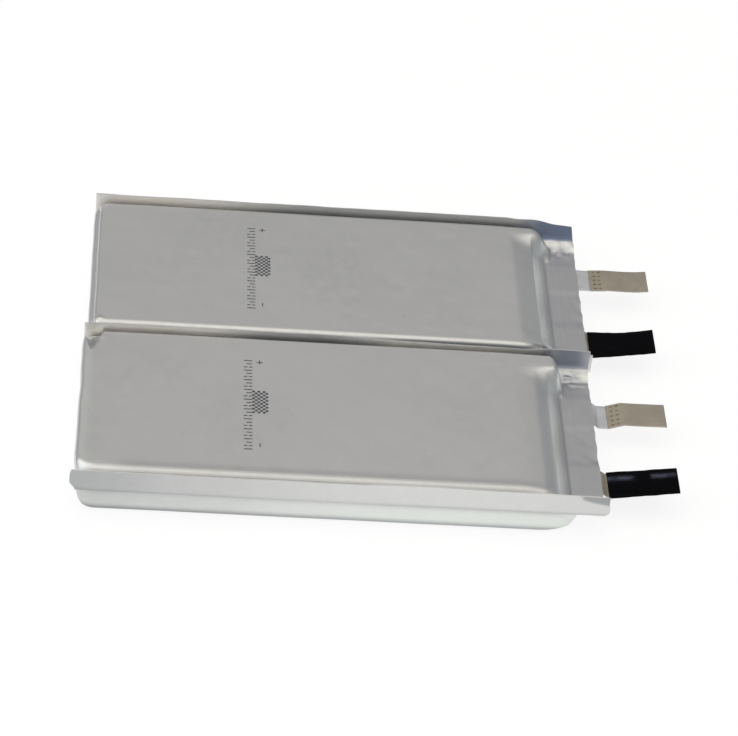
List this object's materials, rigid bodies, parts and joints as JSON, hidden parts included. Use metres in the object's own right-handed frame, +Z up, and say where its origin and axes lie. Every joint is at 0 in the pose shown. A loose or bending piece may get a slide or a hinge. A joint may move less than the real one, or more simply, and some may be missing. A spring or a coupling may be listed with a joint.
{
  "type": "pouch battery cell",
  "caption": "Flat silver laminate pouch battery cells side by side, long edges folded up, bendable metal tabs at one end, the negative tab in a black slide-on sleeve.",
  "frame": {"origin": "centre of the front cell's bottom face", "axes": "+X along the cells towards the tabs, +Y from the front cell to the back cell, +Z up"},
  "size_m": [0.1629, 0.121, 0.0158],
  "materials": {
    "laminate": "satin",
    "seal_polymer": "translucent",
    "tab_aluminium": "satin",
    "tab_nickel": "satin",
    "weld_spot": "heat tinted",
    "cathode": "matte",
    "anode": "matte",
    "separator_web": "matte",
    "amber_tape": "glossy",
    "sleeve_black": "semi gloss"
  },
  "bodies": {
    "front_cell": {"front_pouch_upper": "laminate", "front_pouch_lower": "laminate", "front_heat_seal": "seal_polymer", "front_positive_lead": "tab_aluminium", "front_negative_lead": "tab_nickel", "front_positive_film_upper": "seal_polymer", "front_positive_film_lower": "seal_polymer", "front_negative_film_upper": "seal_polymer", "front_negative_film_lower": "seal_polymer", "front_cathode_sheets": "cathode", "front_anode_sheets": "anode", "front_separator": "separator_web", "front_positive_weld_tape": "amber_tape", "front_negative_weld_tape": "amber_tape", "front_stack_tape_front": "amber_tape", "front_stack_tape_back": "amber_tape", "front_stack_tape_end": "amber_tape"},
    "front_positive_tab": {"front_positive_stub": "tab_aluminium", "front_nickel_strip": "tab_nickel", "front_strip_welds": "weld_spot"},
    "front_negative_tab": {"front_negative_blade": "tab_nickel"},
    "front_sleeve": {"front_insulating_sleeve": "sleeve_black"},
    "back_cell": {"back_pouch_upper": "laminate", "back_pouch_lower": "laminate", "back_heat_seal": "seal_polymer", "back_positive_lead": "tab_aluminium", "back_negative_lead": "tab_nickel", "back_positive_film_upper": "seal_polymer", "back_positive_film_lower": "seal_polymer", "back_negative_film_upper": "seal_polymer", "back_negative_film_lower": "seal_polymer", "back_cathode_sheets": "cathode", "back_anode_sheets": "anode", "back_separator": "separator_web", "back_positive_weld_tape": "amber_tape", "back_negative_weld_tape": "amber_tape", "back_stack_tape_front": "amber_tape", "back_stack_tape_back": "amber_tape", "back_stack_tape_end": "amber_tape"},
    "back_positive_tab": {"back_positive_stub": "tab_aluminium", "back_nickel_strip": "tab_nickel", "back_strip_welds": "weld_spot"},
    "back_negative_tab": {"back_negative_blade": "tab_nickel"},
    "back_sleeve": {"back_insulating_sleeve": "sleeve_black"}
  },
  "joints": [
    {"name": "front_positive_bend", "type": "hinge", "parent": "front_cell", "child": "front_positive_tab", "pos_m": [0.07035, 0.013, 0.00725], "axis": [0, -1, 0], "range_deg": [-15, 90]},
    {"name": "front_negative_bend", "type": "hinge", "parent": "front_cell", "child": "front_negative_tab", "pos_m": [0.07035, -0.0155, 0.00725], "axis": [0, -1, 0], "range_deg": [-15, 80]},
    {"name": "front_sleeve_slide", "type": "slide", "parent": "front_negative_tab", "child": "front_sleeve", "axis": [0.9877, 0, 0.1564], "range_m": [0, 0.025]},
    {"name": "back_positive_bend", "type": "hinge", "parent": "back_cell", "child": "back_positive_tab", "pos_m": [0.07125, 0.073, 0.00725], "axis": [0, -1, 0], "range_deg": [-15, 90]},
    {"name": "back_negative_bend", "type": "hinge", "parent": "back_cell", "child": "back_negative_tab", "pos_m": [0.07125, 0.0445, 0.00725], "axis": [0, -1, 0], "range_deg": [-15, 80]},
    {"name": "back_sleeve_slide", "type": "slide", "parent": "back_negative_tab", "child": "back_sleeve", "axis": [0.9903, 0, 0.1392], "range_m": [0, 0.025]},
    {"name": "back_cell_lift", "type": "slide", "parent": "front_cell", "child": "back_cell", "axis": [0, 0, 1], "range_m": [0, 0.06]}
  ]
}
